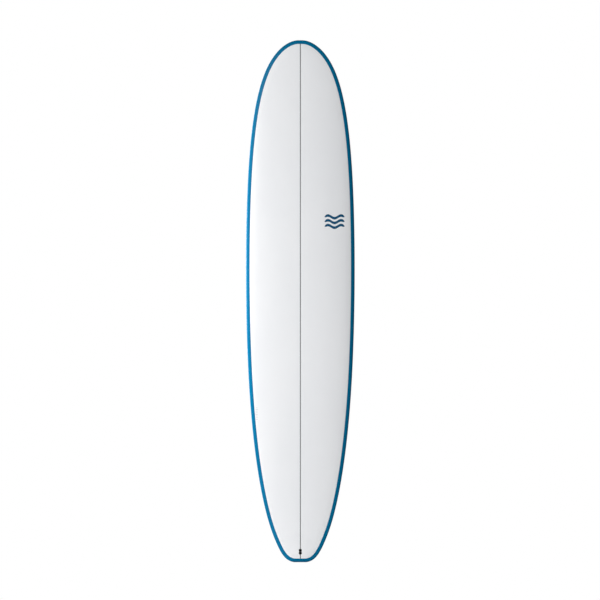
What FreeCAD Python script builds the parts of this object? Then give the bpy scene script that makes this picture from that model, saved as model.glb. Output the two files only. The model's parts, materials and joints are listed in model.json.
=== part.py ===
"""A 9 ft longboard, standing on its tail, taken apart into its separate pieces.

Frame, in mm: +Z runs from tail to nose, the deck faces -Y and the bottom and fins face +Y.
X = 0 is the plane of the stringer, and Z = 0 is the flat end of the squash tail.
"""

import FreeCAD, Part
import functools
import math
import os

from FreeCAD import Placement, Rotation, Vector

# ---------------------------------------------------------------- driving dimensions
LENGTH = 2743.2  # 9 ft 0 in
TAIL_FLAT = 0.5  # sanded off the round of the tail, which leaves the flat that it stands on
FLAT_Y = -5.4  # where the straight middle of the bottom lies, which centres the part on Y
SKIN = 1.0  # laminate over the foam
BOND = 0.15  # glue line between the laminate and the foam
SEAM = 0.1  # joint between neighbouring skins
BAND = 17.0  # width of the coloured rail band, seen from the deck
STRINGER = 3.2  # thickness of the wooden stringer
PINLINE = 3.0  # width of the dark resin line that is laid along the deck
PINLINE_RISE = 0.6
PINLINE_BOND = 0.2  # the line's own glue line

# The outline as a control polygon, (half width, height): a uniform cubic B-spline with clamped ends.
OUTLINE = (
    (20.0, -TAIL_FLAT),
    (73.0, -TAIL_FLAT),
    (122.0, 77.0),
    (205.0, 310.0),
    (287.7, 932.0),
    (291.7, 2137.0),
    (193.0, 2666.0),
    (56.0, LENGTH),
    (10.0, LENGTH),
)
# The thickness along the stringer in the same way, (thickness, height).
FOIL = (
    (25.0, -TAIL_FLAT),
    (32.0, 110.0),
    (43.0, 300.0),
    (63.0, 700.0),
    (77.5, 1350.0),
    (71.0, 2050.0),
    (44.0, 2480.0),
    (29.0, 2660.0),
    (21.0, LENGTH),
)
NOSE_ROCKER = 118.0
TAIL_ROCKER = 78.0
NOSE_ROCKER_START = 1480.0  # the bottom is straight between these two heights
TAIL_ROCKER_START = 1150.0
NOSE_ROCKER_POWER = 2.5
TAIL_ROCKER_POWER = 2.8
APEX = 0.45  # how far up its thickness the rail is widest
ROUND = 2.2  # exponent of every rounded edge
NOSE_CAP = 70.0  # lengths over which the deck rolls down to the two ends
TAIL_CAP = 60.0
NOSE_TUCK = 46.0  # widths of the rounded edge of the bottom
TAIL_TUCK = 25.0

# ---------------------------------------------------------------- hardware dimensions
# The centre fin box and what is in it. A size in brackets is width, length, depth unless it says.
BOX_Z = 250.0  # middle of the box
BOX_FLANGE = (28.0, 267.0, 3.0)
BOX_BODY = (21.0, 260.0, 25.0)
BOX_SLOT = (9.8, 252.0, 20.5)
GROOVE = (14.2, 248.0, 4.6)  # the T groove at both sides of the slot
GROOVE_TOP = 5.5  # depth of its upper face
NOTCH = 15.0  # length of the gap in the groove's lips, through which pin and plate go in
FIN_SHIFT = -6.0  # the fin's middle, from the box's middle
FIN_ROOT = 0.6  # how far the fin's foil and tab lie below the bottom
FIN_DEPTH = 196.0
FIN_THICK = 9.2
FIN_TAB = (9.3, 150.0, 19.0)
LEDGE = (9.3, 14.0, 5.2)  # the tongue ahead of the fin, which the screw holds
ROLL_PIN = (2.0, 13.6)  # radius, length
ROLL_PIN_FROM_END = 11.0
PLATE = (13.6, 13.0, 3.8)
PLATE_PLAY = 0.1
SCREW = (2.0, 17.0)  # radius, depth of its tip
SCREW_HEAD = (3.6, 2.2)  # radius, height
SCREW_SLOT = (0.9, 1.1)  # width, depth
SCREW_PLAY = 0.25  # in the fin
THREAD_PLAY = 0.05
HEAD_GAP = 0.05  # under the screw's head, and above it to the fin's root
# Edges of the centre fin as control polygons, (distance ahead of its middle, depth).
FIN_LEAD = (
    (75.0, -FIN_ROOT),
    (70.0, 46.0),
    (44.0, 120.0),
    (-34.0, 178.0),
    (-72.0, FIN_DEPTH),
    (-96.0, FIN_DEPTH),
)
FIN_TRAIL = (
    (-75.0, -FIN_ROOT),
    (-64.0, 34.0),
    (-52.0, 84.0),
    (-92.0, 146.0),
    (-128.0, FIN_DEPTH),
    (-106.0, FIN_DEPTH),
)

# The side fins, their plugs and the screws that hold them.
SIDE_X = 163.0
SIDE_Z = 350.0
SIDE_CANT = 4.5
SIDE_TOE = 2.0
SIDE_DEPTH = 98.0
SIDE_THICK = 6.2
SIDE_GAP = 0.8  # between the foil and the bottom
SIDE_LEAD = (
    (53.0, SIDE_GAP),
    (46.0, 28.0),
    (26.0, 66.0),
    (-18.0, 92.0),
    (-38.0, SIDE_DEPTH),
    (-50.0, SIDE_DEPTH),
)
SIDE_TRAIL = (
    (-53.0, SIDE_GAP),
    (-46.0, 22.0),
    (-40.0, 48.0),
    (-58.0, 78.0),
    (-68.0, SIDE_DEPTH),
    (-57.0, SIDE_DEPTH),
)
TAB = (6.0, 15.6, 12.8)
TAB_PITCH = 44.5
PLUG_FLANGE = (14.0, 3.0)  # radius, depth
PLUG_BODY = (11.2, 17.0)
PLUG_SLOT = (6.6, 16.4, 13.6)
GRUB = (2.5, 8.0)  # radius, length
GRUB_LEAN = 14.0
GRUB_TOP = 1.0  # how far along its axis it starts below the plug's face
GRUB_X = 8.2  # from the middle of the slot, at the plug's face
GRUB_BORE = 12.0
GRUB_KEY = (2.5, 2.6)  # across the flats of its socket, depth

# The leash plug in the deck.
LEASH_Z = 55.0
WELL_PITCH = 15.0
WELL = (6.4, 15.0)  # radius, depth
LEASH_RIM = 8.2  # outer radius round each well
LEASH_NECK = 13.0  # width between the wells
LEASH_PASSAGE = 9.0  # width of the way under the bar
LEASH_FLOOR = 2.5
BAR = (2.2, 13.0)  # radius, length
BAR_DEPTH = 3.6  # of its axis

# Dense foam let into the core round the hardware.
BOX_BLOCK = (46.0, 290.0, 29.0)
SIDE_BLOCK = (36.0, 92.0, 22.0)
LEASH_BLOCK = (34.0, 50.0, 21.0)

SET_PLAY = 0.06  # room round a piece that is set into the foam
FAR = 500.0  # reach of a cutting tool past the board
PROUD = 9.0  # how far a piece is made past the skin that it is then trimmed to
PLAN_ROWS = 52  # stations along the board, and from stringer to rail
PLAN_COLUMNS = 20


# ---------------------------------------------------------------- the board's shape
def spline_point(poles, t):
    """Point at t, from 0 to 1, of the uniform cubic B-spline with clamped ends."""
    spans = len(poles) - 3
    knots = [0.0] * 4 + [k / spans for k in range(1, spans)] + [1.0] * 4
    k = min(3 + int(t * spans), spans + 2)
    work = [poles[k - 3 + j] for j in range(4)]
    for r in range(1, 4):
        for j in range(3, r - 1, -1):
            low = knots[j + k - 3]
            share = (t - low) / (knots[j + 1 + k - r] - low)
            work[j] = [(1 - share) * a + share * b for a, b in zip(work[j - 1], work[j])]
    return work[3]


def crossing(curve, height):
    """First coordinate of a rising curve, a function of t from 0 to 1, at a height."""
    low, high = 0.0, 1.0
    for _ in range(40):
        middle = (low + high) / 2
        if curve(middle)[1] < height:
            low = middle
        else:
            high = middle
    return curve(low)[0]


def outline_point(t, inset=0.0):
    """Half width and height of the outline at t, moved in by inset at right angles to it."""
    half, z = spline_point(OUTLINE, t)
    if not inset:
        return half, z
    ahead = spline_point(OUTLINE, min(1.0, t + 1e-5))
    behind = spline_point(OUTLINE, max(0.0, t - 1e-5))
    run = math.hypot(ahead[0] - behind[0], ahead[1] - behind[1])
    return half - inset * (ahead[1] - behind[1]) / run, z + inset * (ahead[0] - behind[0]) / run


@functools.lru_cache(maxsize=None)
def half_width(z, inset):
    return crossing(lambda t: outline_point(t, inset), z)


@functools.lru_cache(maxsize=None)
def thickness(z):
    return crossing(lambda t: spline_point(FOIL, t), z)


def rocker(z):
    """How far the bottom lies towards the deck from its straight middle."""
    nose = max(0.0, z - NOSE_ROCKER_START) / (LENGTH - NOSE_ROCKER_START)
    tail = max(0.0, TAIL_ROCKER_START - z) / TAIL_ROCKER_START
    return NOSE_ROCKER * nose**NOSE_ROCKER_POWER + TAIL_ROCKER * tail**TAIL_ROCKER_POWER


def rolled(share):
    """Height of a rounded edge, 1 inside and 0 at the edge, at a share of the way to the edge."""
    return (1 - min(1.0, max(0.0, share)) ** ROUND) ** (1 / ROUND)


def end_roll(z, tail_length, nose_length, inset):
    """The same along the board, at its two ends."""
    from_tail = z + TAIL_FLAT - inset
    from_nose = LENGTH - inset - z
    return rolled(max(1 - from_tail / tail_length, 1 - from_nose / nose_length))


def edge_share(x, z, inset):
    """How far x lies on the way from the stringer to the rail."""
    share = abs(x) / half_width(z, inset)
    return 1.0 if share > 1 - 1e-9 else share


def deck_y(x, z, inset=0.0):
    """Y of the deck, or of a surface inset from it."""
    thick = thickness(z) - 2 * inset
    apex = APEX * thick
    height = rolled(edge_share(x, z, inset)) * end_roll(z, TAIL_CAP, NOSE_CAP, inset)
    return FLAT_Y - rocker(z) - inset - apex - (thick - apex) * height


def bottom_y(x, z, inset=0.0):
    """The same for the bottom."""
    apex = APEX * (thickness(z) - 2 * inset)
    half = half_width(z, inset)
    tuck = TAIL_TUCK + (NOSE_TUCK - TAIL_TUCK) * min(1.0, z / (LENGTH / 2))
    tuck = half * tuck / (half + tuck)
    depth = rolled(1 - (1 - edge_share(x, z, inset)) * half / tuck)
    depth *= end_roll(z, TAIL_TUCK, NOSE_TUCK, inset)
    return FLAT_Y - rocker(z) - inset - apex + apex * depth


def eased(i, count):
    """Even steps that close up towards both ends of 0 to 1."""
    return 0.5 - 0.5 * math.cos(math.pi * i / count)


# ---------------------------------------------------------------- solids from rows of points
def steps(points):
    """Running distance along a row of points, from 0 to 1."""
    run = [0.0]
    for a, b in zip(points, points[1:]):
        run.append(run[-1] + a.distanceToPoint(b))
    return [r / run[-1] for r in run]


def interpolated(points, at):
    curve = Part.BSplineCurve()
    curve.interpolate(Points=points, Parameters=at)
    return curve


def surface(rows, along, across):
    """Smooth surface through rows of points, with a parameter for each row and each column."""
    crosswise = [interpolated(row, across) for row in rows]
    poles = zip(*[curve.getPoles() for curve in crosswise])
    lengthwise = [interpolated(list(column), along) for column in poles]
    skin = Part.BSplineSurface()
    skin.buildFromPolesMultsKnots(
        [list(row) for row in zip(*[curve.getPoles() for curve in lengthwise])],
        lengthwise[0].getMultiplicities(),
        crosswise[0].getMultiplicities(),
        lengthwise[0].getKnots(),
        crosswise[0].getKnots(),
        False,
        False,
        3,
        3,
    )
    return skin


def flat_face(curves):
    """Face in the plane of curves that make one loop, with the gaps between them closed by lines."""
    edges = [curve.toShape() for curve in curves]
    ends = [(c.value(c.FirstParameter), c.value(c.LastParameter)) for c in curves]
    for k, (start, end) in enumerate(ends):
        after = ends[(k + 1) % len(ends)][0]
        if end.distanceToPoint(after) > 1e-6:
            edges.append(Part.makeLine(end, after))
    return Part.Face(Part.Wire(Part.__sortEdges__(edges)))


def side_face(a, b):
    """Face between two edges that run the same way, or nothing where they are one edge."""
    middle = (a.FirstParameter + a.LastParameter) / 2
    if a.value(middle).distanceToPoint(b.value(middle)) < 1e-6:
        return []
    return [Part.makeRuledSurface(a.toShape(), b.toShape())]


def sewn(faces):
    shell = Part.makeShell(faces)
    shell.sewShape()
    solid = Part.makeSolid(shell)
    solid.fix(1e-6, 1e-6, 1e-6)
    return solid


def layer(plan, upper, lower):
    """Solid between two heights, each a function of x and z, over rows of plan points."""
    above = [[Vector(x, upper(x, z), z) for x, z in row] for row in plan]
    below = [[Vector(x, lower(x, z), z) for x, z in row] for row in plan]
    along = steps([row[-1] for row in above])
    across = steps(above[len(above) // 2])
    first, second = surface(above, along, across), surface(below, along, across)
    faces = [first.toShape(), second.toShape()]
    for end in (0.0, 1.0):
        a, b = first.uIso(end), second.uIso(end)
        if a.value(0.5).distanceToPoint(b.value(0.5)) > 1e-6:
            b.reverse()
            faces.append(flat_face([a, b]))
        faces += side_face(first.vIso(end), second.vIso(end))
    return sewn(faces)


# ---------------------------------------------------------------- the board's own pieces
def half_plan(inset, start):
    """Plan points of the right half of the board, from X = start to the rail."""
    shares = [math.sin(math.pi / 2 * j / PLAN_COLUMNS) for j in range(PLAN_COLUMNS + 1)]
    plan = []
    for i in range(PLAN_ROWS + 1):
        half, z = outline_point(eased(i, PLAN_ROWS), inset)
        plan.append([(start + (half - start) * share, z) for share in shares])
    return plan


def whole_plan(inset):
    """Plan points of the board from rail to rail."""
    return [[(-x, z) for x, z in row[:0:-1]] + row for row in half_plan(inset, 0.0)]


def strip_plan(plan, width):
    """Plan points of a strip along the stringer, at the stations of another plan."""
    return [[(share * width / 2, row[0][1]) for share in (-1, -0.5, 0.5, 1)] for row in plan]


def mirrored(solid):
    return solid.mirror(Vector(0, 0, 0), Vector(1, 0, 0))


def rim_stations(rows=64):
    """Points of the right half of the outline, with the direction outwards, from tail to nose."""
    points = [(0.0, -TAIL_FLAT, 0.0, -1.0), (OUTLINE[0][0] / 2, -TAIL_FLAT, 0.0, -1.0)]
    for i in range(rows + 1):
        half, z = outline_point(eased(i, rows))
        inner_half, inner_z = outline_point(eased(i, rows), 1.0)
        points.append((half, z, half - inner_half, z - inner_z))
    points += [(OUTLINE[-1][0] / 2, LENGTH, 0.0, 1.0), (0.0, LENGTH, 0.0, 1.0)]
    return points


def rail_wrap(columns=8):
    """Right half of the rail band: a skin that runs round the rail from deck to bottom."""
    points = rim_stations()

    def strip(height, inset):
        rows = []
        for x, z, out_x, out_z in points:
            row = []
            for j in range(columns + 1):
                depth = inset + (BAND - inset) * (1 - math.cos(math.pi / 2 * j / columns))
                px, pz = x - depth * out_x, z - depth * out_z
                row.append(Vector(px, height(px, pz, inset), pz))
            rows.append(row)
        return rows

    outer = [strip(height, 0.0) for height in (deck_y, bottom_y)]
    inner = [strip(height, SKIN) for height in (deck_y, bottom_y)]
    along = steps([row[0] for row in outer[0]])
    across = steps(outer[0][len(points) // 2])
    skins = [surface(rows, along, across) for rows in outer + inner]
    faces = [skin.toShape() for skin in skins]
    for a, b in ((skins[0], skins[2]), (skins[1], skins[3])):
        faces += side_face(a.vIso(1.0), b.vIso(1.0))
    for end in (0.0, 1.0):
        loop = [skin.uIso(end) for skin in skins]
        loop[0].reverse()
        loop[3].reverse()
        faces.append(flat_face([loop[0], loop[1], loop[3], loop[2]]))
    return sewn(faces)


# ---------------------------------------------------------------- tools for the hardware
def block(width, length, low, high, z=0.0):
    """Box centred on X and on z, from low to high along Y."""
    return Part.makeBox(width, high - low, length, Vector(-width / 2, low, z - length / 2))


def post(radius, low, high, x=0.0, z=0.0):
    """Cylinder along Y from low to high."""
    return Part.makeCylinder(radius, high - low, Vector(x, low, z), Vector(0, 1, 0))


def racetrack(width, length, low, high):
    """Box with round ends along Z."""
    straight = length - width
    ends = [post(width / 2, low, high, z=side * straight / 2) for side in (-1, 1)]
    return block(width, straight, low, high).fuse(ends).removeSplitter()


def hex_socket(flats, low, high):
    first = Vector(flats / math.sqrt(3), low, 0)
    corners = [Rotation(Vector(0, 1, 0), 60 * k).multVec(first) for k in range(7)]
    return Part.Face(Part.makePolygon(corners)).extrude(Vector(0, high - low, 0))


def bottom_place(x, z, cant=0.0, toe=0.0):
    """Placement on the bottom: local Y points out of the board and local Z towards the nose."""
    slope = math.degrees(math.atan(bottom_y(0, z + 0.5) - bottom_y(0, z - 0.5)))
    turn = Rotation(Vector(1, 0, 0), -slope) * Rotation(Vector(0, 1, 0), -toe)
    return Placement(Vector(x, bottom_y(x, z), z), turn * Rotation(Vector(0, 0, 1), -cant))


def deck_place(z):
    """Placement on the deck at the stringer: local Y points out of the board."""
    slope = math.degrees(math.atan(deck_y(0, z + 0.5) - deck_y(0, z - 0.5)))
    turn = Rotation(Vector(1, 0, 0), -slope) * Rotation(Vector(0, 0, 1), 180)
    return Placement(Vector(0, deck_y(0, z), z), turn)


def moved(solid, place):
    copy = solid.copy()
    copy.Placement = place.multiply(copy.Placement)
    return copy


def swell(c):
    """Half thickness of the NACA four-digit section of unit thickness, at a share of its chord."""
    return 5 * (0.2969 * math.sqrt(c) - 0.126 * c - 0.3516 * c**2 + 0.2843 * c**3 - 0.1036 * c**4)


def foil(lead, trail, thick, rows=16, columns=16):
    """A fin between its leading and trailing edges, with a streamlined section; inner face at -X."""
    low, high = lead[0][1], lead[-1][1]
    depths = [low + (high - low) * math.sin(math.pi / 2 * i / rows) for i in range(rows + 1)]
    chord_at_root = lead[0][0] - trail[0][0]
    sides = []
    for side in (1, -1):
        rows_of_side = []
        for depth in depths:
            front = crossing(lambda t: spline_point(lead, t), depth)
            back = crossing(lambda t: spline_point(trail, t), depth)
            row = []
            for j in range(columns + 1):
                c = (1 - math.cos(math.pi * j / columns)) / 2
                half = thick / chord_at_root * swell(c) * (front - back)
                half = 0.0 if j in (0, columns) else half
                row.append(Vector(side * half, depth, front + (back - front) * c))
            rows_of_side.append(row)
        sides.append(rows_of_side)
    along = steps([row[columns // 2] for row in sides[0]])
    across = steps(sides[0][0])
    first, second = (surface(rows_of_side, along, across) for rows_of_side in sides)
    faces = [first.toShape(), second.toShape()]
    for end in (0.0, 1.0):
        a, b = first.uIso(end), second.uIso(end)
        b.reverse()
        faces.append(flat_face([a, b]))
    return sewn(faces)


# ---------------------------------------------------------------- centre fin and its box
def fin_box_envelope(play=0.0):
    """Outside of the box, or with play the room it is set in."""
    width, length, depth = (size + play for size in BOX_BODY)
    rim_width, rim_length, rim_depth = (size + play for size in BOX_FLANGE)
    flange = racetrack(rim_width, rim_length, -rim_depth, BOX_FLANGE[2])
    return flange.fuse(racetrack(width, length, -depth, -BOX_FLANGE[2] / 2)).removeSplitter()


def fin_box():
    width, length, depth = BOX_SLOT
    box = fin_box_envelope().cut(racetrack(width, length, -depth, PROUD))
    low = -GROOVE_TOP - GROOVE[2]
    box = box.cut(block(GROOVE[0], GROOVE[1], low, -GROOVE_TOP))
    return box.cut(block(GROOVE[0], NOTCH, low, PROUD))


def ledge_z():
    return FIN_SHIFT + FIN_TAB[1] / 2 + LEDGE[1] / 2


def roll_pin(radius):
    z = FIN_SHIFT - FIN_TAB[1] / 2 + ROLL_PIN_FROM_END
    centre = Vector(-ROLL_PIN[1] / 2, -GROOVE_TOP - GROOVE[2] / 2, z)
    return Part.makeCylinder(radius, ROLL_PIN[1], centre, Vector(1, 0, 0))


def centre_fin():
    blade = foil(FIN_LEAD, FIN_TRAIL, FIN_THICK)
    blade.translate(Vector(0, 0, FIN_SHIFT))
    width, length, depth = FIN_TAB
    fin = block(width, length, -depth, -FIN_ROOT, FIN_SHIFT)
    fin = fin.fuse(block(width, LEDGE[1] + 1, -LEDGE[2], -FIN_ROOT, ledge_z() - 0.5)).fuse(blade)
    head_radius, head_height = SCREW_HEAD
    fin = fin.cut(post(head_radius + SCREW_PLAY, -FIN_ROOT - head_height, 0, z=ledge_z()))
    fin = fin.cut(post(SCREW[0] + SCREW_PLAY, -LEDGE[2] - 1, 0, z=ledge_z()))
    return fin.cut(roll_pin(ROLL_PIN[0])).removeSplitter()


def fin_plate():
    width, length, thick = PLATE
    top = -GROOVE_TOP - PLATE_PLAY
    return block(width, length, top - thick, top, ledge_z()).cut(
        post(SCREW[0] + THREAD_PLAY, top - thick - 1, top + 1, z=ledge_z())
    )


def fin_screw():
    head_radius, head_height = SCREW_HEAD
    head_top = -FIN_ROOT - HEAD_GAP
    screw = post(head_radius, head_top - head_height + HEAD_GAP, head_top, z=ledge_z())
    screw = screw.fuse(post(SCREW[0], -SCREW[1], head_top - SCREW_SLOT[1], z=ledge_z())).removeSplitter()
    width, deep = SCREW_SLOT
    return screw.cut(block(width, 3 * head_radius, head_top - deep, head_top + 1, ledge_z()))


# ---------------------------------------------------------------- side fins and their plugs
def plug_envelope(play=0.0):
    """Outside of a plug, or with play the room it is set in."""
    radius, depth = (size + play for size in PLUG_BODY)
    rim_radius, rim_depth = (size + play for size in PLUG_FLANGE)
    flange = post(rim_radius, -rim_depth, PLUG_FLANGE[1])
    return flange.fuse(post(radius, -depth, -PLUG_FLANGE[1] / 2)).removeSplitter()


def grub_place():
    """Placement of a grub screw in a plug: its local Y is its axis, and it starts at the plug's face."""
    return Placement(Vector(-GRUB_X, 0, 0), Rotation(Vector(0, 0, 1), GRUB_LEAN))


def side_plug():
    width, length, depth = PLUG_SLOT
    plug = plug_envelope().cut(block(width, length, -depth, PROUD))
    return plug.cut(moved(post(GRUB[0] + THREAD_PLAY, -GRUB_BORE, PROUD), grub_place()))


def grub_screw():
    radius, length = GRUB
    screw = post(radius, -GRUB_TOP - length, -GRUB_TOP)
    flats, deep = GRUB_KEY
    screw = screw.cut(hex_socket(flats, -GRUB_TOP - deep, 0))
    return moved(screw, grub_place())


def side_fin():
    fin = foil(SIDE_LEAD, SIDE_TRAIL, SIDE_THICK)
    width, length, depth = TAB
    for end in (-1, 1):
        fin = fin.fuse(block(width, length, -depth, 2.0, end * TAB_PITCH / 2))
    return fin.removeSplitter()


# ---------------------------------------------------------------- leash plug
def leash_envelope(play=0.0):
    """Outside of the leash plug, or with play the room it is set in."""
    depth = WELL[1] + LEASH_FLOOR + play
    rims = [post(LEASH_RIM + play, -depth, PROUD, z=side * WELL_PITCH / 2) for side in (-1, 1)]
    return block(LEASH_NECK + play, WELL_PITCH, -depth, PROUD).fuse(rims).removeSplitter()


def leash_bar():
    radius, length = BAR
    return Part.makeCylinder(radius, length, Vector(-length / 2, -BAR_DEPTH, 0), Vector(1, 0, 0))


def leash_plug():
    radius, depth = WELL
    wells = [post(radius, -depth, 2 * PROUD, z=side * WELL_PITCH / 2) for side in (-1, 1)]
    hollow = block(LEASH_PASSAGE, WELL_PITCH, -depth, 2 * PROUD).fuse(wells).removeSplitter()
    return leash_envelope().cut(hollow).cut(leash_bar())


# ---------------------------------------------------------------- the whole part
# Pieces are made at the right, and a name with {} stands for the right piece and its mirror image.
def let_in(size, place):
    """Block of dense foam under the skin at a piece of hardware."""
    width, length, depth = size
    return moved(block(width, length, -depth, PROUD), place)


def centre_hardware(board):
    """The centre fin, its box and its fastenings, then the foam block and the room that the box takes."""
    place = bottom_place(0, BOX_Z)
    parts = {
        "fin_box": moved(fin_box(), place).common(board),
        "centre_fin": moved(centre_fin(), place),
        "fin_roll_pin": moved(roll_pin(ROLL_PIN[0]), place),
        "fin_plate": moved(fin_plate(), place),
        "fin_screw": moved(fin_screw(), place),
    }
    return parts, {"fin_box_block": let_in(BOX_BLOCK, place)}, [moved(fin_box_envelope(SET_PLAY), place)]


def side_place(side):
    """Placement of the right side fin, or of the left one where side is -1."""
    return bottom_place(side * SIDE_X, SIDE_Z, side * SIDE_CANT, side * SIDE_TOE)


def plug_places(side):
    """Placements of the front and the rear plug of a side fin."""
    steps_along = (Placement(Vector(0, 0, end * TAB_PITCH / 2), Rotation()) for end in (1, -1))
    return [side_place(side).multiply(step) for step in steps_along]


def plug_voids(side):
    return [moved(plug_envelope(SET_PLAY), place) for place in plug_places(side)]


def side_hardware(board):
    """The same for the right side fin."""
    parts = {"side_fin_{}": moved(side_fin(), side_place(1))}
    for place, where in zip(plug_places(1), ("front", "rear")):
        parts["side_plug_{}_" + where] = moved(side_plug(), place).common(board)
        parts["grub_screw_{}_" + where] = moved(grub_screw(), place)
    return parts, {"side_block_{}": let_in(SIDE_BLOCK, side_place(1))}, plug_voids(1)


def leash_hardware(board):
    """The same for the leash plug."""
    place = deck_place(LEASH_Z)
    parts = {"leash_plug": moved(leash_plug(), place).common(board), "leash_bar": moved(leash_bar(), place)}
    return parts, {"leash_block": let_in(LEASH_BLOCK, place)}, [moved(leash_envelope(SET_PLAY), place)]


def skins(voids):
    """Laminate on deck and bottom, the dark line from the leash plug to the nose, and the rail band."""
    plan = whole_plan(BAND + SEAM)
    line_plan = strip_plan(plan, PINLINE)
    line = layer(line_plan, lambda x, z: deck_y(x, z) - PINLINE_RISE, lambda x, z: deck_y(x, z) - PINLINE_BOND)
    deck = layer(plan, deck_y, lambda x, z: deck_y(x, z, SKIN))
    bottom = layer(plan, bottom_y, lambda x, z: bottom_y(x, z, SKIN))
    below = Part.makeBox(2 * FAR, 2 * FAR, FAR, Vector(-FAR, -FAR, -FAR))
    below_plug = below.translated(Vector(0, 0, LEASH_Z))
    return {
        "centre_pinline": line.cut(voids + [below_plug]),
        "deck_skin": deck.cut(voids),
        "bottom_skin": bottom.cut(voids),
        "rail_wrap_{}": rail_wrap().cut(below),
    }


def export(name, solid):
    solid.exportStep(f"parts/{name}.step")
    print(f"{name:24s} solids {len(solid.Solids)} valid {solid.isValid()} cm3 {solid.Volume / 1000:9.2f}")


def main():
    core = SKIN + BOND

    def core_deck(x, z):
        return deck_y(x, z, core)

    def core_bottom(x, z):
        return bottom_y(x, z, core)

    board = layer(whole_plan(0.0), deck_y, bottom_y)
    inside = layer(whole_plan(core), core_deck, core_bottom)
    parts, blocks, voids = {}, {}, []
    for more_parts, more_blocks, more_voids in (
        centre_hardware(board),
        leash_hardware(board),
        side_hardware(board),
    ):
        parts.update(more_parts)
        blocks.update(more_blocks)
        voids += more_voids
    for name, solid in blocks.items():
        parts[name] = solid.common(inside).cut(voids)

    pockets = list(blocks.values())
    half = layer(half_plan(core, STRINGER / 2 + BOND), core_deck, core_bottom)
    middle = layer(strip_plan(half_plan(core, 0.0), STRINGER), core_deck, core_bottom)
    parts["foam_core_{}"] = half.cut(pockets)
    parts["stringer"] = middle.cut(pockets)
    parts.update(skins(voids + plug_voids(-1)))

    os.makedirs("parts", exist_ok=True)
    for name, solid in parts.items():
        export(name.format("right"), solid)
        if "{}" in name:
            export(name.format("left"), mirrored(solid))


if __name__ == "__main__":
    main()
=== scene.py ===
"""Looks of a 9 ft longboard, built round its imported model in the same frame.

+Z runs from tail to nose, the deck faces -Y and the fins face +Y. Shapes are worked out in mm, as the
part's are, and scaled to metres when they become meshes.
"""

import functools
import json
import math

import bmesh
import bpy
import numpy as np
from mathutils import Matrix, Vector


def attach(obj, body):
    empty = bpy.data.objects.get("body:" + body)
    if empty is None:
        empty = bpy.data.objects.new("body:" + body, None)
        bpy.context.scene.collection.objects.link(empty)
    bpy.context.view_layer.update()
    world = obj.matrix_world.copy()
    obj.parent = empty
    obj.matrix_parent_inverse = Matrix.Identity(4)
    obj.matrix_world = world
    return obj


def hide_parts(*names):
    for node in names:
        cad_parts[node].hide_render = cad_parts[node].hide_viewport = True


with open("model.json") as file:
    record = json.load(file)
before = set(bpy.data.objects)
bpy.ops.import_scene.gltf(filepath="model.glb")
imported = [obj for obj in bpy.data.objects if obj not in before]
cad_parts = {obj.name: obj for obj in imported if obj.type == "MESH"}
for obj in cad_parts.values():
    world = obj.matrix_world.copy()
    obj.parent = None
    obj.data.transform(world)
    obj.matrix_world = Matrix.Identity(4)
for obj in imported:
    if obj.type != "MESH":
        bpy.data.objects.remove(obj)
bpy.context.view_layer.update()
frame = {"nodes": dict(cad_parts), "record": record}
MM = 0.001

# ---------------------------------------------------------------- the board's dimensions, as in the part
LENGTH = 2743.2
TAIL_FLAT = 0.5
FLAT_Y = -5.4
SKIN = 1.0
BOND = 0.15
SEAM = 0.1
BAND = 19.5  # 17.0 in the part
PINLINE = 3.6  # 3.0 in the part
PINLINE_RISE = 0.6
OUTLINE = (
    (20.0, -TAIL_FLAT),
    (73.0, -TAIL_FLAT),
    (122.0, 77.0),
    (205.0, 310.0),
    (287.7, 932.0),
    (291.7, 2137.0),
    (193.0, 2666.0),
    (56.0, LENGTH),
    (10.0, LENGTH),
)
FOIL = (
    (25.0, -TAIL_FLAT),
    (32.0, 110.0),
    (43.0, 300.0),
    (63.0, 700.0),
    (77.5, 1350.0),
    (71.0, 2050.0),
    (44.0, 2480.0),
    (29.0, 2660.0),
    (21.0, LENGTH),
)
NOSE_ROCKER = 118.0
TAIL_ROCKER = 78.0
NOSE_ROCKER_START = 1480.0
TAIL_ROCKER_START = 1150.0
NOSE_ROCKER_POWER = 2.5
TAIL_ROCKER_POWER = 2.8
APEX = 0.45
ROUND = 2.2
NOSE_CAP = 70.0
TAIL_CAP = 60.0
NOSE_TUCK = 46.0
TAIL_TUCK = 25.0

BOX_Z = 250.0
BOX_FLANGE = (28.0, 267.0)  # width, length
SIDE_X = 163.0
SIDE_Z = 350.0
SIDE_CANT = 4.5
SIDE_TOE = 2.0
TAB_PITCH = 44.5
PLUG_RADIUS = 14.0
LEASH_Z = 55.0
WELL_PITCH = 15.0
LEASH_RIM = 8.2
LEASH_NECK = 13.0

FIN_SHIFT = -6.0
FIN_ROOT = 0.6
FIN_DEPTH = 196.0
FIN_THICK = 9.2
FIN_TAB = (9.3, 150.0, 19.0)
LEDGE = (9.3, 14.0, 5.2)
SCREW_SEAT = (3.85, 2.2)  # radius and depth of the seat for the screw's head
SCREW_HOLE = 2.25  # radius
FIN_LEAD = (
    (75.0, -FIN_ROOT),
    (70.0, 46.0),
    (44.0, 120.0),
    (-34.0, 178.0),
    (-72.0, FIN_DEPTH),
    (-96.0, FIN_DEPTH),
)
FIN_TRAIL = (
    (-75.0, -FIN_ROOT),
    (-64.0, 34.0),
    (-52.0, 84.0),
    (-92.0, 146.0),
    (-128.0, FIN_DEPTH),
    (-106.0, FIN_DEPTH),
)
SIDE_DEPTH = 98.0
SIDE_THICK = 6.2
SIDE_GAP = 0.8
SIDE_LEAD = (
    (53.0, SIDE_GAP),
    (46.0, 28.0),
    (26.0, 66.0),
    (-18.0, 92.0),
    (-38.0, SIDE_DEPTH),
    (-50.0, SIDE_DEPTH),
)
SIDE_TRAIL = (
    (-53.0, SIDE_GAP),
    (-46.0, 22.0),
    (-40.0, 48.0),
    (-58.0, 78.0),
    (-68.0, SIDE_DEPTH),
    (-57.0, SIDE_DEPTH),
)
TAB = (6.0, 15.6, 12.8)

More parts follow.
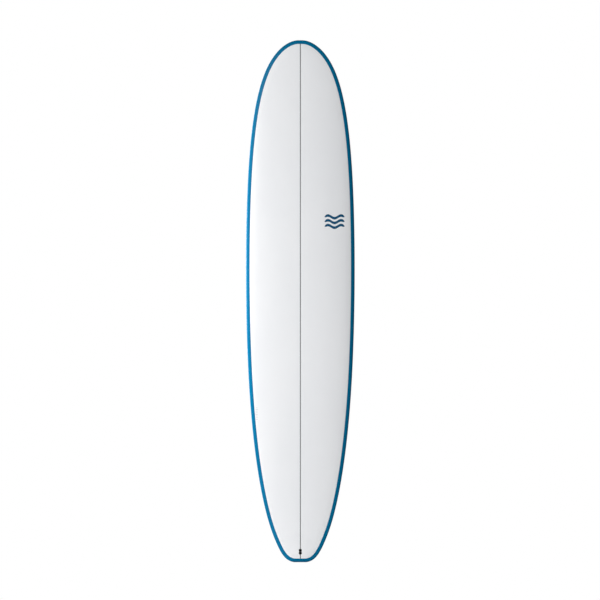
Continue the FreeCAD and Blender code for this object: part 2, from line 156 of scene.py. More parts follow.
# ---------------------------------------------------------------- what only the looks have
MARK_X = 180.0  # a printed mark of three waves, right of the stringer
MARK_Z = 1790.0
MARK_WIDTH = 104.0
MARK_BAR = 14.0
MARK_PITCH = 25.0
MARK_SWELL = 7.0
TICK_X = -229.0  # a faint printed scale near the left rail
TICK_Z = 781.0
TICK_PITCH = 8.5
TICK_WIDTHS = (12.0, 9.0, 9.0)  # in turn
TICK_BAR = 2.2
TICKS = 8
PRINT_RISE = 0.12
PRINT_SINK = 0.02  # room between a print and the deck
LINE_CROWN = 0.45  # how much of its height the line loses towards its sides
LINE_CLEARANCE = 0.1  # between the line and the leash plug
HOLE_REACH = 8.0  # of a hole's cutter, to both sides of the surface
CURVE_SAMPLES = 3000
GLASS_PITCH = 0.0014  # in metres, of the threads of the cloth in the laminate

# ---------------------------------------------------------------- the view and its light, in metres
VIEW_SIZE = 3.1536
VIEW_SHIFT = -0.0016
VIEW_MIDDLE = 1.378
VIEW_DISTANCE = 8.0
FLOOR_REACH = 12000.0  # in mm, as all that new_piece takes
ROOM_LIGHT = 0.16
LIGHTS = (  # name, place, target, size, watts
    ("key", (-2.45, -3.4, 1.75), (0, 0, 1.5), (1.4, 1.6), 150),
    ("rim", (-1.85, 0.45, 1.6), (-0.25, 0, 1.55), (0.4, 0.6), 78),
    ("back", (-0.6, 4.4, 2.2), (0, 0, 1.2), (2.0, 2.6), 150),
)


# ---------------------------------------------------------------- the board's shape, in mm
def spline_point(poles, t):
    """Point at t, from 0 to 1, of the uniform cubic B-spline with clamped ends."""
    spans = len(poles) - 3
    knots = [0.0] * 4 + [k / spans for k in range(1, spans)] + [1.0] * 4
    k = min(3 + int(t * spans), spans + 2)
    work = [poles[k - 3 + j] for j in range(4)]
    for r in range(1, 4):
        for j in range(3, r - 1, -1):
            low = knots[j + k - 3]
            share = (t - low) / (knots[j + 1 + k - r] - low)
            work[j] = [(1 - share) * a + share * b for a, b in zip(work[j - 1], work[j])]
    return work[3]


def outline_point(t, inset=0.0):
    """Half width and height of the outline at t, moved in by inset at right angles to it."""
    half, z = spline_point(OUTLINE, t)
    if not inset:
        return half, z
    ahead = spline_point(OUTLINE, min(1.0, t + 1e-5))
    behind = spline_point(OUTLINE, max(0.0, t - 1e-5))
    run = math.hypot(ahead[0] - behind[0], ahead[1] - behind[1])
    return half - inset * (ahead[1] - behind[1]) / run, z + inset * (ahead[0] - behind[0]) / run


@functools.lru_cache(maxsize=None)
def sampled(curve, inset=None):
    """Heights and first coordinates along a curve, close enough to read between them."""
    shares = [k / CURVE_SAMPLES for k in range(CURVE_SAMPLES + 1)]
    points = [spline_point(curve, t) if inset is None else outline_point(t, inset) for t in shares]
    return np.array([p[1] for p in points]), np.array([p[0] for p in points])


@functools.lru_cache(maxsize=None)
def at_height(z, curve, inset=None):
    heights, values = sampled(curve, inset)
    return float(np.interp(z, heights, values))


def half_width(z, inset):
    return at_height(z, OUTLINE, inset)


def thickness(z):
    return at_height(z, FOIL)


def rocker(z):
    """How far the bottom lies towards the deck from its straight middle."""
    nose = max(0.0, z - NOSE_ROCKER_START) / (LENGTH - NOSE_ROCKER_START)
    tail = max(0.0, TAIL_ROCKER_START - z) / TAIL_ROCKER_START
    return NOSE_ROCKER * nose**NOSE_ROCKER_POWER + TAIL_ROCKER * tail**TAIL_ROCKER_POWER


def rolled(share):
    """Height of a rounded edge, 1 inside and 0 at the edge, at a share of the way to the edge."""
    return (1 - min(1.0, max(0.0, share)) ** ROUND) ** (1 / ROUND)


def end_roll(z, tail_length, nose_length, inset):
    """The same along the board, at its two ends."""
    from_tail = z + TAIL_FLAT - inset
    from_nose = LENGTH - inset - z
    return rolled(max(1 - from_tail / tail_length, 1 - from_nose / nose_length))


def rim_y(z, inset=0.0):
    """Y of the widest line of the rail."""
    return FLAT_Y - rocker(z) - inset - APEX * (thickness(z) - 2 * inset)


def deck_y(x, z, inset=0.0):
    """Y of the deck, or of a surface inset from it."""
    crown = (1 - APEX) * (thickness(z) - 2 * inset)
    share = abs(x) / half_width(z, inset)
    return rim_y(z, inset) - crown * rolled(share) * end_roll(z, TAIL_CAP, NOSE_CAP, inset)


def bottom_y(x, z, inset=0.0):
    """The same for the bottom."""
    half = half_width(z, inset)
    tuck = TAIL_TUCK + (NOSE_TUCK - TAIL_TUCK) * min(1.0, z / (LENGTH / 2))
    tuck = half * tuck / (half + tuck)
    depth = rolled(1 - (1 - abs(x) / half) * half / tuck)
    depth *= end_roll(z, TAIL_TUCK, NOSE_TUCK, inset)
    return rim_y(z, inset) + APEX * (thickness(z) - 2 * inset) * depth


def eased(i, count):
    """Even steps that close up towards both ends of 0 to 1."""
    return 0.5 - 0.5 * math.cos(math.pi * i / count)


def bottom_place(x, z, cant=0.0, toe=0.0):
    """Matrix on the bottom: local Y points out of the board and local Z towards the nose."""
    slope = math.atan(bottom_y(0, z + 0.5) - bottom_y(0, z - 0.5))
    turn = Matrix.Rotation(-slope, 4, "X") @ Matrix.Rotation(-math.radians(toe), 4, "Y")
    turn = turn @ Matrix.Rotation(-math.radians(cant), 4, "Z")
    return Matrix.Translation((x, bottom_y(x, z), z)) @ turn


def deck_place(z):
    """Matrix on the deck at the stringer: local Y points out of the board."""
    slope = math.atan(deck_y(0, z + 0.5) - deck_y(0, z - 0.5))
    turn = Matrix.Rotation(-slope, 4, "X") @ Matrix.Rotation(math.pi, 4, "Z")
    return Matrix.Translation((0, deck_y(0, z), z)) @ turn


# ---------------------------------------------------------------- meshes
def new_piece(name, points, faces, look, place=Matrix()):
    """Mesh object from points in mm, with its faces turned outwards."""
    mesh = bpy.data.meshes.new(name)
    mesh.from_pydata([(place @ Vector(p)) * MM for p in points], [], faces)
    shell = bmesh.new()
    shell.from_mesh(mesh)
    bmesh.ops.remove_doubles(shell, verts=shell.verts, dist=1e-6)
    bmesh.ops.recalc_face_normals(shell, faces=shell.faces)
    shell.to_mesh(mesh)
    shell.free()
    piece = bpy.data.objects.new(name, mesh)
    bpy.context.scene.collection.objects.link(piece)
    mesh.materials.append(look)
    smooth(mesh)
    return piece


def smooth(mesh, degrees=35):
    mesh.polygons.foreach_set("use_smooth", [True] * len(mesh.polygons))
    mesh.set_sharp_from_angle(angle=math.radians(degrees))


def grid_faces(rows, columns, start=0, ring=False):
    """Quads over rows of points, and back to the first row where they make a ring."""
    faces = []
    for i in range(rows if ring else rows - 1):
        for j in range(columns - 1):
            a = start + i * columns + j
            b = start + (i + 1) % rows * columns + j
            faces.append((a, b, b + 1, a + 1))
    return faces


def grid_rings(rows, around):
    """Quads over rows of points that each close on themselves."""
    faces = []
    for i in range(rows - 1):
        for k in range(around):
            a, b = i * around + k, i * around + (k + 1) % around
            faces.append((a, b, b + around, a + around))
    return faces


def skin_piece(name, plan, upper, lower, look):
    """Closed sheet between two heights over rows of plan points."""
    rows, columns = len(plan), len(plan[0])
    points = [(x, height(x, z), z) for height in (upper, lower) for row in plan for x, z in row]
    under = rows * columns
    faces = grid_faces(rows, columns) + grid_faces(rows, columns, under)
    border = list(range(columns))
    border += [i * columns + columns - 1 for i in range(1, rows)]
    border += [(rows - 1) * columns + j for j in range(columns - 2, -1, -1)]
    border += [i * columns for i in range(rows - 2, 0, -1)]
    for a, b in zip(border, border[1:] + border[:1]):
        faces.append((a, b, b + under, a + under))
    return new_piece(name, points, faces, look)


def whole_plan(inset, rows=260, columns=44):
    """Plan points of the board from rail to rail."""
    shares = [math.sin(math.pi / 2 * j / columns) for j in range(-columns, columns + 1)]
    plan = []
    for i in range(rows + 1):
        half, z = outline_point(eased(i, rows), inset)
        plan.append([(half * share, z) for share in shares])
    return plan


def rail_band(look, stations=520, columns=12):
    """The whole rail band as one ring, with the section of a bent strip."""
    half_ring = [(0.0, -TAIL_FLAT, 0.0, -1.0), (OUTLINE[0][0] / 2, -TAIL_FLAT, 0.0, -1.0)]
    for i in range(stations + 1):
        half, z = outline_point(eased(i, stations))
        inner_half, inner_z = outline_point(eased(i, stations), 1.0)
        half_ring.append((half, z, half - inner_half, z - inner_z))
    half_ring += [(OUTLINE[-1][0] / 2, LENGTH, 0.0, 1.0), (0.0, LENGTH, 0.0, 1.0)]
    mirror = [(-x, z, -out_x, out_z) for x, z, out_x, out_z in half_ring[-2:0:-1]]
    ring = half_ring + mirror

    def section(x, z, out_x, out_z, height, inset):
        """From the rim inwards over the deck or the bottom."""
        points = []
        for j in range(columns + 1):
            depth = inset + (BAND - inset) * (1 - math.cos(math.pi / 2 * j / columns))
            px, pz = x - depth * out_x, z - depth * out_z
            y = height(px, pz, inset) if j else rim_y(pz, inset)
            points.append((px, y, max(0.0, pz)))
        return points

    points = []
    for x, z, out_x, out_z in ring:
        loop = []
        for inset in (0.0, SKIN):
            over = section(x, z, out_x, out_z, deck_y, inset)
            under = section(x, z, out_x, out_z, bottom_y, inset)
            strip = over[::-1] + under[1:]
            loop += strip if inset == 0.0 else strip[::-1]
        points += loop + loop[:1]
    return new_piece("rail_band", points, grid_faces(len(ring), len(loop) + 1, ring=True), look)


def prism(outline, low, high, place):
    """Cutter over an outline in local X and Z, from low to high along local Y."""
    count = len(outline)
    points = [(x, y, z) for y in (low, high) for x, z in outline]
    faces = [tuple(range(count)), tuple(range(2 * count - 1, count - 1, -1))]
    faces += [(k, (k + 1) % count, (k + 1) % count + count, k + count) for k in range(count)]
    return new_piece("cutter", points, faces, None, place)


def arc(radius, z, start, end, steps=24):
    """Points from start to end, in degrees from local X towards local Z."""
    turns = [math.radians(start + (end - start) * k / steps) for k in range(steps + 1)]
    return [(radius * math.cos(a), z + radius * math.sin(a)) for a in turns]


def circle(radius, z=0.0, corners=48):
    return arc(radius, z, 0, 360 - 360 / corners, corners - 1)


def racetrack(width, length):
    straight = (length - width) / 2
    return arc(width / 2, straight, 0, 180) + arc(width / 2, -straight, 180, 360)


def leash_outline():
    waist = math.degrees(math.acos(LEASH_NECK / 2 / LEASH_RIM))
    upper = arc(LEASH_RIM, WELL_PITCH / 2, -waist, 180 + waist)
    return upper + arc(LEASH_RIM, -WELL_PITCH / 2, 180 - waist, 360 + waist)


def cut(piece, cutters, surface):
    """Holes through a skin, which keeps the shading of its true surface round them."""
    for cutter in cutters:
        hole = piece.modifiers.new("hole", "BOOLEAN")
        hole.operation = "DIFFERENCE"
        hole.solver = "EXACT"
        hole.object = cutter
    bpy.context.view_layer.update()
    holed = bpy.data.meshes.new_from_object(piece.evaluated_get(bpy.context.evaluated_depsgraph_get()))
    piece.modifiers.clear()
    old = piece.data
    piece.data = holed
    bpy.data.meshes.remove(old)
    holed.name = piece.name
    for cutter in cutters:
        bpy.data.meshes.remove(cutter.data)
    shade_as(holed, surface)


def shade_as(mesh, surface, step=0.4):
    """Corner normals of a skin from its height function, where a face follows that surface."""
    exact = []
    for vertex in mesh.vertices:
        x, _, z = vertex.co / MM
        across = (surface(x + step, z) - surface(x - step, z)) / (2 * step)
        along = (surface(x, z + step) - surface(x, z - step)) / (2 * step)
        exact.append(Vector((-across, 1.0, -along)).normalized())
    normals = [None] * len(mesh.loops)
    for face in mesh.polygons:
        face.use_smooth = True
        for loop in face.loop_indices:
            true = exact[mesh.loops[loop].vertex_index]
            true = true if true.dot(face.normal) > 0 else -true
            normals[loop] = true if true.dot(face.normal) > 0.8 else face.normal.copy()
    mesh.normals_split_custom_set(normals)


def swell(c):
    """Half thickness of the NACA four-digit section of unit thickness, at a share of its chord."""
    return 5 * (0.2969 * math.sqrt(c) - 0.126 * c - 0.3516 * c**2 + 0.2843 * c**3 - 0.1036 * c**4)


def blade(lead, trail, thick, shift=0.0, rows=90, columns=40):
    """Points and faces of a fin's foil, as closed loops of points from root to tip."""
    low, high = lead[0][1], lead[-1][1]
    root_chord = lead[0][0] - trail[0][0]
    around = 2 * columns
    points = []
    for i in range(rows + 1):
        depth = low + (high - low) * math.sin(math.pi / 2 * i / rows)
        front, back = at_height(depth, lead), at_height(depth, trail)
        loop = []
        for j in range(around):
            side = 1 if j < columns else -1
            c = (1 - math.cos(math.pi * j / columns)) / 2
            half = 0.0 if j in (0, columns) else thick / root_chord * swell(c) * (front - back)
            loop.append((side * half, depth, shift + front + (back - front) * c))
        points += loop + loop[:1]
    faces = grid_faces(rows + 1, around + 1)
    for start in (0, rows * (around + 1)):
        faces.append(tuple(range(start, start + around)))
    return points, faces


def rounded_block(width, length, low, high, z=0.0, edge=0.5):
    """Points and faces of a block with chamfered edges, centred on X and z."""
    points = []
    for y, inset in ((low, edge), (low + edge, 0.0), (high - edge, 0.0), (high, edge)):
        half_x, half_z = width / 2 - inset, length / 2 - inset
        quarter = [(half_x, half_z - edge), (half_x - edge, half_z)]
        other = [(-x, dz) for x, dz in quarter[::-1]]
        upper = quarter + other
        points += [(x, y, z + dz) for x, dz in upper + [(-x, -dz) for x, dz in upper]]
    around = 2 * len(upper)
    last = 3 * around
    faces = [tuple(range(around)), tuple(range(last, last + around))]
    return points, faces + grid_rings(4, around)


def joined(shapes):
    """One list of points and one of faces from several."""
    points, faces = [], []
    for more_points, more_faces in shapes:
        faces += [tuple(k + len(points) for k in face) for face in more_faces]
        points += more_points
    return points, faces


# ---------------------------------------------------------------- materials
def socket_name(word):
    return word.replace("_", " ").title().replace("Ior", "IOR")


class Look:
    """A Principled material: uniform values sit on the shader, and nodes vary the rest."""

    def __init__(self, name, **values):
        self.material = bpy.data.materials.new(name)
        self.material.use_nodes = True
        self.nodes = self.material.node_tree.nodes
        self.links = self.material.node_tree.links
        self.shader = self.nodes["Principled BSDF"]
        for socket, value in values.items():
            self.shader.inputs[socket_name(socket)].default_value = value

    def node(self, kind, **values):
        node = self.nodes.new(kind)
        for key, value in values.items():
            if hasattr(node, key):
                setattr(node, key, value)
            else:
                node.inputs[socket_name(key)].default_value = value
        return node

    def place(self, scale):
        """Coordinates in metres, stretched by a scale along each axis."""
        at = self.node("ShaderNodeTexCoord")
        mapping = self.node("ShaderNodeMapping")
        mapping.inputs["Scale"].default_value = scale
        self.links.new(at.outputs["Object"], mapping.inputs["Vector"])
        return mapping.outputs["Vector"]

    def noise(self, scale, stretch=(1, 1, 1), detail=4.0, roughness=0.5):
        noise = self.node("ShaderNodeTexNoise", scale=scale, detail=detail, roughness=roughness)
        self.links.new(self.place(stretch), noise.inputs["Vector"])
        return noise.outputs["Fac"]

    def bands(self, axis, pitch, distortion=0.3):
        """Waves along an axis, with a pitch in metres."""
        wave = self.node("ShaderNodeTexWave", bands_direction=axis, distortion=distortion, detail=1.0)
        wave.inputs["Scale"].default_value = 1 / pitch * math.tau / 20
        self.links.new(self.place((1, 1, 1)), wave.inputs["Vector"])
        return wave.outputs["Fac"]

    def ranged(self, factor, low, high, start=0.35, end=0.65):
        """A factor between two values turned into a range of a number."""
        node = self.node("ShaderNodeMapRange")
        values = (start, end, low, high)
        for socket, value in zip(("From Min", "From Max", "To Min", "To Max"), values):
            node.inputs[socket].default_value = value
        self.links.new(factor, node.inputs["Value"])
        return node.outputs["Result"]

    def blended(self, factor, first, second):
        """A colour between two, each a colour or a socket, as the factor is a number or a socket."""
        mix = self.node("ShaderNodeMix", data_type="RGBA")
        if isinstance(factor, float):
            mix.inputs["Factor"].default_value = factor
        else:
            self.links.new(factor, mix.inputs["Factor"])
        for slot, colour in ((6, first), (7, second)):
            if isinstance(colour, tuple):
                mix.inputs[slot].default_value = (*colour, 1.0)
            else:
                self.links.new(colour, mix.inputs[slot])
        return mix.outputs[2]

    def bump(self, heights, strength, distance):
        """Bump from one height or from the sum of several."""
        total = heights[0]
        for height in heights[1:]:
            add = self.node("ShaderNodeMath", operation="ADD")
            self.links.new(total, add.inputs[0])
            self.links.new(height, add.inputs[1])
            total = add.outputs[0]
        bump = self.node("ShaderNodeBump", strength=strength, distance=distance)
        self.links.new(total, bump.inputs["Height"])
        self.links.new(bump.outputs["Normal"], self.shader.inputs["Normal"])

    def cloth(self, strength, distance):
        """Bump of the glass cloth under the resin."""
        self.bump([self.bands("X", GLASS_PITCH), self.bands("Z", GLASS_PITCH)], strength, distance)

    def set(self, socket, output):
        self.links.new(output, self.shader.inputs[socket])


def white_laminate():
    """White foam sealed under glass cloth, with a satin finish."""
    look = Look("white_laminate", specular_ior_level=0.12)
    cloud = look.ranged(look.noise(5.0, (1.0, 1.0, 0.4)), 0.0, 1.0)
    grain = look.ranged(look.noise(420.0, detail=2.0), 0.0, 1.0, 0.3, 0.7)
    base = look.blended(cloud, (0.795, 0.803, 0.822), (0.822, 0.828, 0.842))
    speck = look.blended(grain, (0.79, 0.797, 0.815), (0.83, 0.836, 0.85))
    look.set("Base Color", look.blended(0.3, base, speck))
    look.set("Roughness", look.ranged(look.noise(9.0, (1, 1, 0.25)), 0.28, 0.36))
    look.cloth(0.12, 0.00004)
    return look.material


def blue_laminate():
    """Glass cloth in resin that is tinted blue, with the resin's faint streaks."""
    look = Look("blue_laminate", specular_ior_level=0.05)
    streak = look.ranged(look.noise(16.0, (1.0, 1.0, 0.15)), 0.0, 1.0)
    fine = look.ranged(look.noise(260.0, (1.0, 1.0, 0.5), detail=2.0), 0.0, 1.0, 0.3, 0.7)
    wide = look.blended(streak, (0.0002, 0.133, 0.27), (0.0003, 0.15, 0.3))
    small = look.blended(fine, (0.0002, 0.125, 0.255), (0.0003, 0.155, 0.315))
    look.set("Base Color", look.blended(0.35, wide, small))
    look.set("Roughness", look.ranged(look.noise(30.0), 0.3, 0.4))
    look.cloth(0.1, 0.00003)
    return look.material


def line_resin():
    """Dark grey resin of the line along the deck."""
    look = Look("pinline_resin", specular_ior_level=0.12)
    tone = look.ranged(look.noise(60.0, (1, 1, 0.2)), 0.0, 1.0)
    look.set("Base Color", look.blended(tone, (0.007, 0.0073, 0.008), (0.012, 0.0125, 0.0135)))
    look.set("Roughness", look.ranged(look.noise(200.0), 0.4, 0.5))
    look.bump([look.noise(900.0)], 0.2, 0.00003)
    return look.material


def print_ink(name, dark, pale):
    """Glossy ink, thinner in places."""
    look = Look(name, coat_weight=0.3, coat_roughness=0.08)
    look.set("Base Color", look.blended(look.ranged(look.noise(140.0), 0.0, 1.0), dark, pale))
    look.set("Roughness", look.ranged(look.noise(300.0), 0.22, 0.32))
    look.bump([look.noise(1200.0)], 0.15, 0.00002)
    return look.material


def moulded_plastic():
    """Black moulded plastic with a fine spark-eroded grain and rubbed spots."""
    look = Look("box_plastic", specular_ior_level=0.45)
    tone = look.ranged(look.noise(70.0), 0.0, 1.0)
    look.set("Base Color", look.blended(tone, (0.007, 0.007, 0.008), (0.014, 0.014, 0.015)))
    look.set("Roughness", look.ranged(look.noise(240.0), 0.34, 0.5))
    look.bump([look.noise(2600.0, detail=2.0)], 0.35, 0.00004)
    return look.material


def fin_laminate():
    """Black glass-filled fin: satin, with the faint flow and fibre of its surface."""
    look = Look("fin_laminate", coat_weight=0.2, coat_roughness=0.15, specular_ior_level=0.5)
    flow = look.ranged(look.noise(28.0, (1.0, 0.5, 1.0), detail=6.0), 0.0, 1.0)
    fibre = look.ranged(look.noise(380.0, (1.0, 0.12, 1.0), detail=3.0), 0.0, 1.0)
    wide = look.blended(flow, (0.010, 0.011, 0.013), (0.019, 0.020, 0.023))
    look.set("Base Color", look.blended(fibre, wide, (0.026, 0.027, 0.030)))
    look.set("Roughness", look.ranged(look.noise(90.0), 0.27, 0.4))
    look.bump([look.noise(700.0, (1.0, 0.2, 1.0))], 0.25, 0.00005)
    return look.material


def turned_metal(name, dark, pale, stretch, roughness):
    """Metal with the fine lines of its machining, and dull spots."""
    look = Look(name, metallic=1.0)
    lines = look.ranged(look.noise(1500.0, stretch, detail=3.0), 0.0, 1.0)
    look.set("Base Color", look.blended(lines, dark, pale))
    look.set("Roughness", look.ranged(look.noise(160.0), roughness, roughness + 0.16))
    look.bump([look.noise(2200.0, stretch)], 0.25, 0.00003)
    return look.material


def foam(name, dark, pale, cell):
    """Cut foam: pale, matt and pitted by its cells."""
    look = Look(name, roughness=0.92, specular_ior_level=0.2)
    look.set("Base Color", look.blended(look.ranged(look.noise(14.0), 0.0, 1.0), dark, pale))
    cells = look.node("ShaderNodeTexVoronoi", scale=1 / cell)
    look.links.new(look.place((1, 1, 1)), cells.inputs["Vector"])
    look.bump([cells.outputs["Distance"]], 0.5, cell / 4)
    return look.material


def basswood():
    """Pale wood with its grain along the board."""
    look = Look("stringer_wood", roughness=0.62)
    grain = look.ranged(look.noise(240.0, (1.0, 1.0, 0.02), detail=6.0), 0.0, 1.0)
    broad = look.ranged(look.noise(30.0, (1.0, 1.0, 0.05)), 0.0, 1.0)
    base = look.blended(broad, (0.50, 0.33, 0.18), (0.60, 0.42, 0.24))
    look.set("Base Color", look.blended(grain, base, (0.36, 0.22, 0.11)))
    look.bump([look.noise(700.0, (1.0, 1.0, 0.03))], 0.3, 0.0001)
    return look.material


LOOKS = {
    "white_laminate": white_laminate(),
    "blue_laminate": blue_laminate(),
    "pinline_resin": line_resin(),
    "box_plastic": moulded_plastic(),
    "fin_laminate": fin_laminate(),
    "steel": turned_metal("steel", (0.42, 0.42, 0.41), (0.62, 0.62, 0.61), (1, 1, 1), 0.24),
    "bar_steel": turned_metal("bar_steel", (0.10, 0.10, 0.105), (0.20, 0.20, 0.21), (0.1, 1, 1), 0.36),
    "brass": turned_metal("brass", (0.46, 0.31, 0.11), (0.62, 0.44, 0.18), (1, 1, 0.1), 0.28),
    "core_foam": foam("core_foam", (0.74, 0.70, 0.58), (0.82, 0.79, 0.68), 0.0006),
    "block_foam": foam("block_foam", (0.50, 0.42, 0.26), (0.60, 0.52, 0.34), 0.0004),
    "stringer_wood": basswood(),
}
BLUE_INK = print_ink("blue_ink", (0.0, 0.062, 0.145), (0.002, 0.085, 0.185))
GREY_INK = print_ink("grey_ink", (0.42, 0.43, 0.45), (0.52, 0.53, 0.55))


# ---------------------------------------------------------------- pieces
def finish_piece(piece, body, slot, *nodes):
    """A piece rides on its body and stands for the nodes, which it hides; the slot is not used."""
    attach(piece, body)
    if nodes:
        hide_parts(*nodes)


def board_skins():
    plan = whole_plan(BAND + SEAM)
    deck = skin_piece(
        "deck_laminate", plan, deck_y, lambda x, z: deck_y(x, z, SKIN), LOOKS["white_laminate"]
    )
    cut(deck, [prism(leash_outline(), -HOLE_REACH, HOLE_REACH, deck_place(LEASH_Z))], deck_y)
    finish_piece(deck, "board", "white_laminate", "deck_skin")

    bottom = skin_piece(
        "bottom_laminate", plan, bottom_y, lambda x, z: bottom_y(x, z, SKIN), LOOKS["white_laminate"]
    )
    holes = [prism(racetrack(*BOX_FLANGE), -HOLE_REACH, HOLE_REACH, bottom_place(0, BOX_Z))]
    for side in (1, -1):
        for end in (1, -1):
            place = bottom_place(SIDE_X, SIDE_Z, SIDE_CANT, SIDE_TOE)
            place = place @ Matrix.Translation((0, 0, end * TAB_PITCH / 2))
            place = Matrix.Scale(side, 4, (1, 0, 0)) @ place
            holes.append(prism(circle(PLUG_RADIUS), -HOLE_REACH, HOLE_REACH, place))
    cut(bottom, holes, bottom_y)
    finish_piece(bottom, "board", "white_laminate", "bottom_skin")

    band = rail_band(LOOKS["blue_laminate"])
    finish_piece(band, "board", "blue_laminate", "rail_wrap_left", "rail_wrap_right")
    return plan


def deck_line(plan):
    """The dark line from band to band, crowned across, with a gap for the leash plug."""
    reach = WELL_PITCH / 2 + LEASH_RIM + LINE_CLEARANCE
    z_low, z_high = plan[0][0][1], plan[-1][0][1]
    shares = (-1.0, -0.8, -0.4, 0.0, 0.4, 0.8, 1.0)
    shapes = []
    for start, end, steps in ((z_low, LEASH_Z - reach, 24), (LEASH_Z + reach, z_high, 700)):
        strip = []
        for i in range(steps + 1):
            z = start + (end - start) * i / steps
            strip.append([(share * PINLINE / 2, z) for share in shares])
        shapes.append(strip)
    for k, strip in enumerate(shapes):
        piece = skin_piece(
            f"centre_line_{k + 1}",
            strip,
            lambda x, z: deck_y(x, z) - PINLINE_RISE * (1 - LINE_CROWN * abs(2 * x / PINLINE) ** 3),
            lambda x, z: deck_y(x, z) - BOND / 2,
            LOOKS["pinline_resin"],
        )
        finish_piece(piece, "board", "pinline_resin", "centre_pinline")


def printed(name, middle, width, height, swing, ink, slot, steps=48):
    """A printed bar that follows the deck, slimmer at its ends, in one and a half waves of the swing."""
    strip = []
    for i in range(steps + 1):
        x = -width / 2 + width * i / steps
        crest = swing * math.sin(math.tau * 1.5 * i / steps)
        slim = height / 2 * min(1.0, 0.35 + 3.0 * math.sin(math.pi * i / steps))
        strip.append([(middle[0] + x, middle[1] + crest + share * slim) for share in (-1, -0.5, 0, 0.5, 1)])
    piece = skin_piece(
        name, strip, lambda x, z: deck_y(x, z) - PRINT_RISE, lambda x, z: deck_y(x, z) - PRINT_SINK, ink
    )
    finish_piece(piece, "board", slot)


def prints():
    """Three waves in blue, and a short row of faint ticks, in place of any lettering."""
    for k in (-1, 0, 1):
        middle = (MARK_X, MARK_Z + k * MARK_PITCH)
        printed(f"wave_mark_{k + 2}", middle, MARK_WIDTH, MARK_BAR, MARK_SWELL, BLUE_INK, "blue_laminate")
    for k in range(TICKS):
        middle = (TICK_X, TICK_Z + (k - (TICKS - 1) / 2) * TICK_PITCH)
        width = TICK_WIDTHS[k % len(TICK_WIDTHS)]
        printed(f"tick_{k + 1}", middle, width, TICK_BAR, 0.0, GREY_INK, "white_laminate")


def fins():
    ledge_z = FIN_SHIFT + (FIN_TAB[1] + LEDGE[1]) / 2
    shapes = [
        blade(FIN_LEAD, FIN_TRAIL, FIN_THICK, FIN_SHIFT),
        rounded_block(FIN_TAB[0], FIN_TAB[1], -FIN_TAB[2], -FIN_ROOT, FIN_SHIFT),
    ]
    place = bottom_place(0, BOX_Z)
    fin = new_piece("centre_fin_blade", *joined(shapes), LOOKS["fin_laminate"], place)
    finish_piece(fin, "centre_fin", "fin_laminate", "centre_fin")
    tongue = new_piece(
        "centre_fin_tongue",
        *rounded_block(LEDGE[0], LEDGE[1] - 0.2, -LEDGE[2], -FIN_ROOT, ledge_z + 0.1, 0.3),
        LOOKS["fin_laminate"],
        place,
    )
    seat = prism(circle(SCREW_SEAT[0], ledge_z), -FIN_ROOT - SCREW_SEAT[1], HOLE_REACH, place)
    hole = prism(circle(SCREW_HOLE, ledge_z), -HOLE_REACH, HOLE_REACH, place)
    cut(tongue, [seat, hole], bottom_y)
    finish_piece(tongue, "centre_fin", "fin_laminate", "centre_fin")

    width, length, depth = TAB
    shapes = [blade(SIDE_LEAD, SIDE_TRAIL, SIDE_THICK)]
    for end in (-1, 1):
        shapes.append(rounded_block(width, length, -depth, 1.6, end * TAB_PITCH / 2, 0.4))
    points, faces = joined(shapes)
    for side, name in ((1, "right"), (-1, "left")):
        place = Matrix.Scale(side, 4, (1, 0, 0)) @ bottom_place(SIDE_X, SIDE_Z, SIDE_CANT, SIDE_TOE)
        fin = new_piece(f"side_fin_blade_{name}", points, faces, LOOKS["fin_laminate"], place)
        finish_piece(fin, f"side_fin_{name}", "fin_laminate", f"side_fin_{name}")


def dress_cad_nodes():
    """Every carried-over node takes the look of its slot."""
    slots = {part["node"]: part["material_slot"] for part in frame["record"]["subparts"]}
    for name, node in frame["nodes"].items():
        look = LOOKS[slots[name]]
        node.data.materials.clear()
        node.data.materials.append(look)


plan = board_skins()
deck_line(plan)
prints()
fins()
dress_cad_nodes()


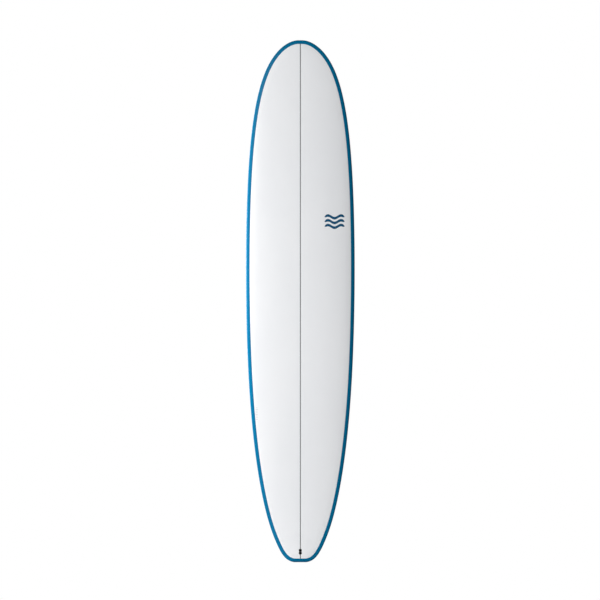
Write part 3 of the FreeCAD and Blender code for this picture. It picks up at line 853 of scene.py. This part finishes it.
# ---------------------------------------------------------------- stage, light and camera
def floor():
    """A pale matt floor, wide enough to look endless."""
    look = Look("floor", roughness=0.8, specular_ior_level=0.2)
    tone = look.ranged(look.noise(3.0), 0.0, 1.0)
    look.set("Base Color", look.blended(tone, (0.62, 0.62, 0.62), (0.65, 0.65, 0.65)))
    corners = ((-1, -1), (1, -1), (1, 1), (-1, 1))
    points = [(FLOOR_REACH * x, FLOOR_REACH * y, 0) for x, y in corners]
    new_piece("floor", points, [(0, 1, 2, 3)], look.material)


def sky():
    """A dim even room for its light, and a white backdrop for what is seen of it."""
    world = bpy.data.worlds.new("room")
    bpy.context.scene.world = world
    world.use_nodes = True
    nodes, links = world.node_tree.nodes, world.node_tree.links
    room = nodes["Background"]
    room.inputs["Color"].default_value = (0.95, 0.98, 1.0, 1.0)
    room.inputs["Strength"].default_value = ROOM_LIGHT
    backdrop = nodes.new("ShaderNodeBackground")
    backdrop.inputs["Color"].default_value = (1.0, 1.0, 1.0, 1.0)
    seen = nodes.new("ShaderNodeLightPath")
    mix = nodes.new("ShaderNodeMixShader")
    links.new(seen.outputs["Is Camera Ray"], mix.inputs["Fac"])
    links.new(room.outputs["Background"], mix.inputs[1])
    links.new(backdrop.outputs["Background"], mix.inputs[2])
    links.new(mix.outputs["Shader"], nodes["World Output"].inputs["Surface"])


def softbox(name, place, target, size, watts):
    """A rectangular lamp that faces its target."""
    lamp = bpy.data.lights.new(name, "AREA")
    lamp.shape = "RECTANGLE"
    lamp.size, lamp.size_y = size
    lamp.energy = watts
    holder = bpy.data.objects.new(name, lamp)
    bpy.context.scene.collection.objects.link(holder)
    holder.location = place
    aim = Vector(target) - Vector(place)
    holder.rotation_euler = aim.to_track_quat("-Z", "Y").to_euler()


def camera():
    """Straight on to the deck, from so far that the view has no perspective."""
    lens = bpy.data.cameras.new("camera")
    lens.type = "ORTHO"
    lens.ortho_scale = VIEW_SIZE
    lens.clip_end = 100.0
    holder = bpy.data.objects.new("camera", lens)
    bpy.context.scene.collection.objects.link(holder)
    holder.location = (VIEW_SHIFT, -VIEW_DISTANCE, VIEW_MIDDLE)
    holder.rotation_euler = (math.pi / 2, 0, 0)
    bpy.context.scene.camera = holder


floor()
sky()
for light in LIGHTS:
    softbox(*light)
camera()
bpy.context.scene.view_settings.view_transform = "Standard"
